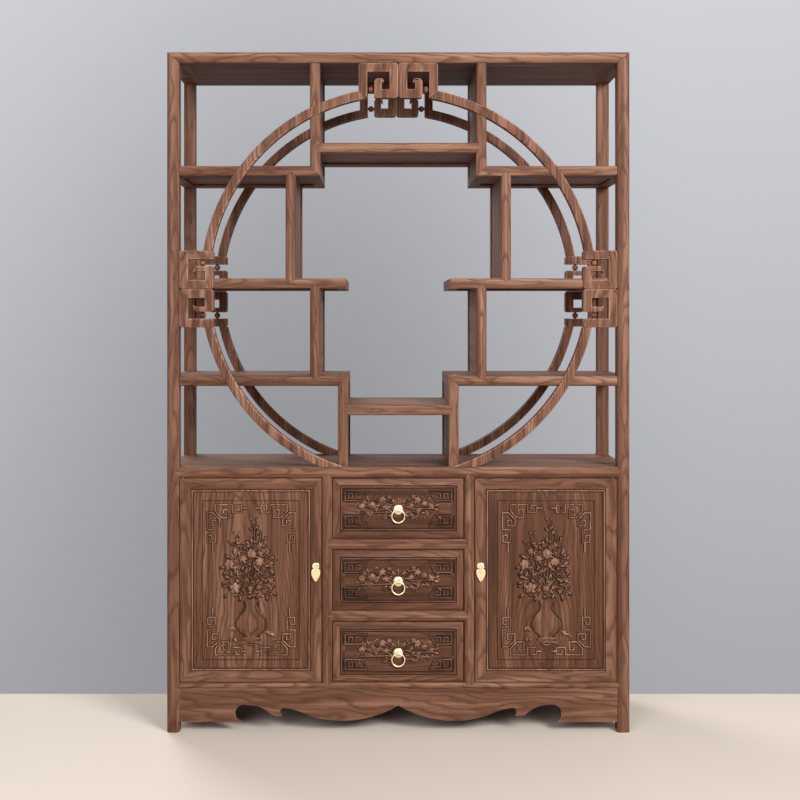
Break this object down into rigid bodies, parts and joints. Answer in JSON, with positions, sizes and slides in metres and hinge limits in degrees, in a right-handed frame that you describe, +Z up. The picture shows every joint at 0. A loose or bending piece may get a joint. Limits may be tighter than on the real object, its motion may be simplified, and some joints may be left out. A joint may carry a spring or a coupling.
{
  "type": "chinese book cabinet",
  "caption": "Tall carved wooden display cabinet: open shelves framed by a moon-shaped ring with key frets, over a base with carved doors, drawers, brass pulls and a curved apron.",
  "frame": {"origin": "on the floor, at the middle of the cabinet's width and depth", "axes": "+Z up; the front with the doors and drawers faces -Y; +X to the right as seen from the front"},
  "size_m": [1.36, 0.3553, 2],
  "materials": {
    "frame_wood": "satin reddish brown hardwood",
    "panel_wood": "satin reddish brown hardwood, carved",
    "brass": "pale aged brass"
  },
  "bodies": {
    "carcass": {"post_front_left": "frame_wood", "post_front_right": "frame_wood", "post_rear_left": "frame_wood", "post_rear_right": "frame_wood", "top_frame": "frame_wood", "top_panel": "frame_wood", "counter_frame": "frame_wood", "counter_panel": "frame_wood", "base_frame": "frame_wood", "base_panel": "frame_wood", "front_apron": "frame_wood", "side_aprons": "frame_wood", "centre_stiles": "frame_wood", "drawer_rails": "frame_wood", "side_panels": "frame_wood", "back_panel": "frame_wood", "partitions": "frame_wood", "drawer_runners": "frame_wood", "door_stops": "frame_wood", "door_pivots": "brass", "top_shelf_left": "frame_wood", "top_shelf_right": "frame_wood", "middle_shelf_left": "frame_wood", "middle_shelf_right": "frame_wood", "lower_shelf_left": "frame_wood", "lower_shelf_right": "frame_wood", "top_centre_shelf": "frame_wood", "lower_centre_shelf": "frame_wood", "top_uprights": "frame_wood", "second_uprights": "frame_wood", "third_uprights": "frame_wood", "fourth_uprights": "frame_wood", "front_ring_upper": "frame_wood", "front_ring_lower": "frame_wood", "rear_ring_upper": "frame_wood", "rear_ring_lower": "frame_wood", "front_top_frets": "frame_wood", "front_side_frets": "frame_wood", "rear_top_frets": "frame_wood", "rear_side_frets": "frame_wood"},
    "left_door": {"left_door_frame": "frame_wood", "left_door_panel": "panel_wood", "left_pull_plate": "brass"},
    "left_drop": {"left_pull_drop": "brass"},
    "right_door": {"right_door_frame": "frame_wood", "right_door_panel": "panel_wood", "right_pull_plate": "brass"},
    "right_drop": {"right_pull_drop": "brass"},
    "top_drawer": {"top_drawer_front": "panel_wood", "top_drawer_box": "frame_wood", "top_pull_boss": "brass"},
    "top_ring": {"top_pull_ring": "brass"},
    "middle_drawer": {"middle_drawer_front": "panel_wood", "middle_drawer_box": "frame_wood", "middle_pull_boss": "brass"},
    "middle_ring": {"middle_pull_ring": "brass"},
    "bottom_drawer": {"bottom_drawer_front": "panel_wood", "bottom_drawer_box": "frame_wood", "bottom_pull_boss": "brass"},
    "bottom_ring": {"bottom_pull_ring": "brass"}
  },
  "joints": [
    {"name": "left_door_hinge", "type": "hinge", "parent": "carcass", "child": "left_door", "pos_m": [-0.6335, -0.162, 0.447], "axis": [0, 0, -1], "range_deg": [0, 95]},
    {"name": "right_door_hinge", "type": "hinge", "parent": "carcass", "child": "right_door", "pos_m": [0.6335, -0.162, 0.447], "axis": [0, 0, 1], "range_deg": [0, 95]},
    {"name": "left_drop_swing", "type": "hinge", "parent": "left_door", "child": "left_drop", "pos_m": [-0.2425, -0.1766, 0.484], "axis": [-1, 0, 0], "range_deg": [0, 170]},
    {"name": "right_drop_swing", "type": "hinge", "parent": "right_door", "child": "right_drop", "pos_m": [0.2425, -0.1766, 0.484], "axis": [-1, 0, 0], "range_deg": [0, 170]},
    {"name": "top_drawer_slide", "type": "slide", "parent": "carcass", "child": "top_drawer", "axis": [0, -1, 0], "range_m": [0, 0.25]},
    {"name": "middle_drawer_slide", "type": "slide", "parent": "carcass", "child": "middle_drawer", "axis": [0, -1, 0], "range_m": [0, 0.25]},
    {"name": "bottom_drawer_slide", "type": "slide", "parent": "carcass", "child": "bottom_drawer", "axis": [0, -1, 0], "range_m": [0, 0.25]},
    {"name": "top_ring_swing", "type": "hinge", "parent": "top_drawer", "child": "top_ring", "pos_m": [0, -0.1738, 0.654], "axis": [-1, 0, 0], "range_deg": [0, 170]},
    {"name": "middle_ring_swing", "type": "hinge", "parent": "middle_drawer", "child": "middle_ring", "pos_m": [0, -0.1738, 0.443], "axis": [-1, 0, 0], "range_deg": [0, 170]},
    {"name": "bottom_ring_swing", "type": "hinge", "parent": "bottom_drawer", "child": "bottom_ring", "pos_m": [0, -0.1738, 0.232], "axis": [-1, 0, 0], "range_deg": [0, 170]}
  ]
}
